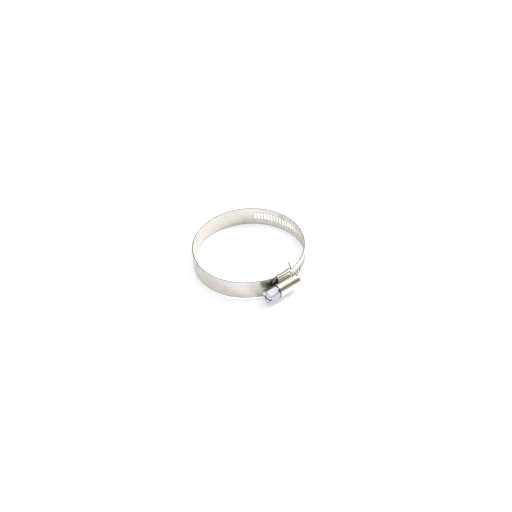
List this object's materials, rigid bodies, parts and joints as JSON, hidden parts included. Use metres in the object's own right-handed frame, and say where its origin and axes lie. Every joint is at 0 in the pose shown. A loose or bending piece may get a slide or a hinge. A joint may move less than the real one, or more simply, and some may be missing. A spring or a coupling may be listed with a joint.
{
  "type": "hose clamp",
  "caption": "Worm-drive hose clamp: a slotted steel band wrapped into a ring, tightened by a hex-headed screw in a pressed housing.",
  "frame": {"origin": "centre of the hose bore at mid-width of the band", "axes": "+Z along the hose bore; the housing is on the -Y side; the screw runs along X with its head towards -X"},
  "size_m": [0.0699, 0.0787, 0.0148],
  "materials": {
    "band_steel": "rolled stainless strip",
    "housing_steel": "bright pressed stainless sheet",
    "screw_zinc": "bright zinc plate"
  },
  "bodies": {
    "housing": {"housing_shell": "housing_steel", "band_fixed_end": "band_steel"},
    "screw": {"worm_screw": "screw_zinc"},
    "left_band": {"band_left_arc": "band_steel"},
    "back_band": {"band_back_arc": "band_steel"},
    "right_band": {"band_right_arc": "band_steel"},
    "slotted_band": {"band_slotted_end": "band_steel"}
  },
  "joints": [
    {"name": "screw_turn", "type": "hinge", "parent": "housing", "child": "screw", "pos_m": [0, -0.03943, 0], "axis": [1, 0, 0], "range_deg": [-270, 1590]},
    {"name": "left_band_flex", "type": "hinge", "parent": "housing", "child": "left_band", "pos_m": [-0.0242, -0.0242, 0], "axis": [0, 0, 1], "range_deg": [-3.61, 0.78]},
    {"name": "back_band_flex", "type": "hinge", "parent": "left_band", "child": "back_band", "pos_m": [-0.02964, 0.01711, 0], "axis": [0, 0, 1], "range_deg": [-3.42, 0.75]},
    {"name": "right_band_flex", "type": "hinge", "parent": "back_band", "child": "right_band", "pos_m": [0.01752, 0.02953, 0], "axis": [0, 0, 1], "range_deg": [-4.76, 0.97]},
    {"name": "slotted_band_flex", "type": "hinge", "parent": "right_band", "child": "slotted_band", "pos_m": [0.02549, -0.02486, 0], "axis": [0, 0, 1], "range_deg": [-4.07, 0.86]}
  ],
  "couplings": [
    {"joint": "left_band_flex", "follows": "screw_turn", "ratio": -0.0021469},
    {"joint": "back_band_flex", "follows": "screw_turn", "ratio": -0.0020253},
    {"joint": "right_band_flex", "follows": "screw_turn", "ratio": -0.0028656},
    {"joint": "slotted_band_flex", "follows": "screw_turn", "ratio": -0.0024315}
  ]
}
